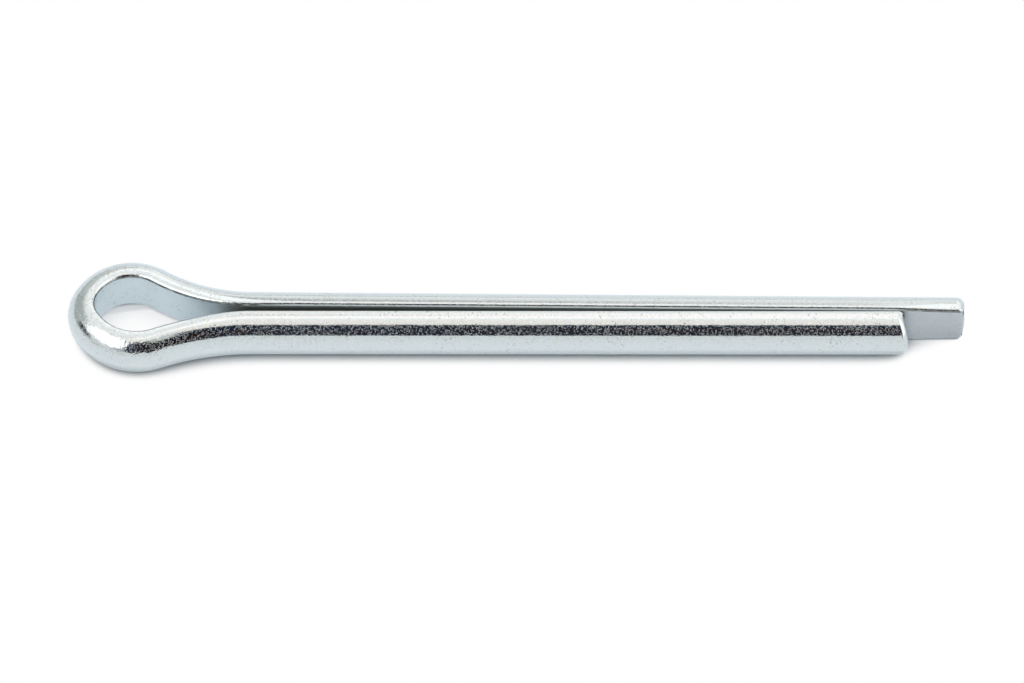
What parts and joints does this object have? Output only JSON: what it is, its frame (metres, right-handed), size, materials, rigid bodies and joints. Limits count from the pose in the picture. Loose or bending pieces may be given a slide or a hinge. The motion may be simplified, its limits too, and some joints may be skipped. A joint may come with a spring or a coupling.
{
  "type": "split cotter pin",
  "caption": "Split pin of half-round wire: a teardrop eye, then a straight round shank made by its legs lying flat to flat, one leg longer than the other.",
  "frame": {"origin": "on the axis of the round shank, at the neck where the eye ends and the straight legs begin", "axes": "+X along the shank to the tips, +Y toward the long leg, +Z along the hole of the eye and up as the pin lies"},
  "size_m": [0.0553, 0.0073, 0.0036],
  "materials": {
    "zinc_plated_steel": "bright zinc plating with a fine tumbled grain"
  },
  "bodies": {
    "root": {"cotter_pin": "zinc_plated_steel"}
  },
  "joints": []
}
